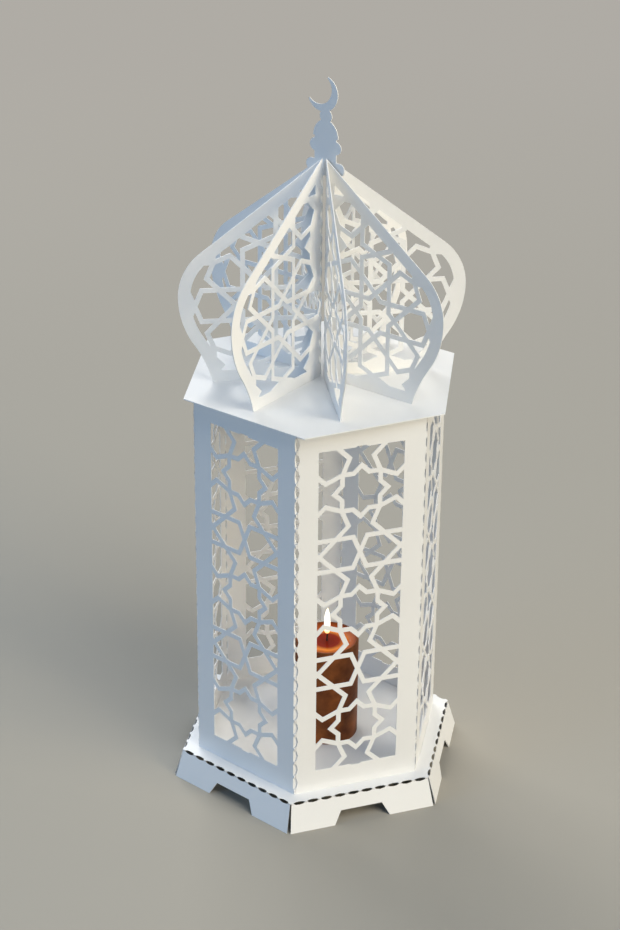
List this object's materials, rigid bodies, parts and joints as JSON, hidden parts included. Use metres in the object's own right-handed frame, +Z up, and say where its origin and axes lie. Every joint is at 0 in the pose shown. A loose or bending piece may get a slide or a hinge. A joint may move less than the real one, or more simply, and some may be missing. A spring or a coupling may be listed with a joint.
{
  "type": "fanous candle lantern",
  "caption": "White pierced sheet-metal fanous lantern: hexagonal lattice body on a folded tray, pillar candle inside, lift-off roof with a dome of lattice fins and a crescent.",
  "frame": {"origin": "middle of the footprint on the floor, at the level of the skirts' feet", "axes": "+Z up along the lantern's axis; -Y towards the corner where the body's strip is closed, the one nearest the camera in the picture; +X to the right from there"},
  "size_m": [0.2924, 0.3366, 0.7823],
  "materials": {
    "white_sheet": "satin powder coat",
    "wax": "smooth wax",
    "wick": "charred cotton"
  },
  "bodies": {
    "lantern": {"base_tray": "white_sheet", "body_wrap": "white_sheet"},
    "lid": {"roof_plate": "white_sheet", "fin_pair_front_left": "white_sheet", "fin_pair_front_right": "white_sheet", "fin_pair_back_right": "white_sheet", "fin_pair_back_left": "white_sheet"},
    "candle": {"candle": "wax", "wick": "wick"}
  },
  "joints": [
    {"name": "lid_lift", "type": "slide", "parent": "lantern", "child": "lid", "axis": [0, 0, 1], "range_m": [0, 0.15]},
    {"name": "candle_lift", "type": "slide", "parent": "lantern", "child": "candle", "axis": [0, 0, 1], "range_m": [0, 0.265]}
  ]
}
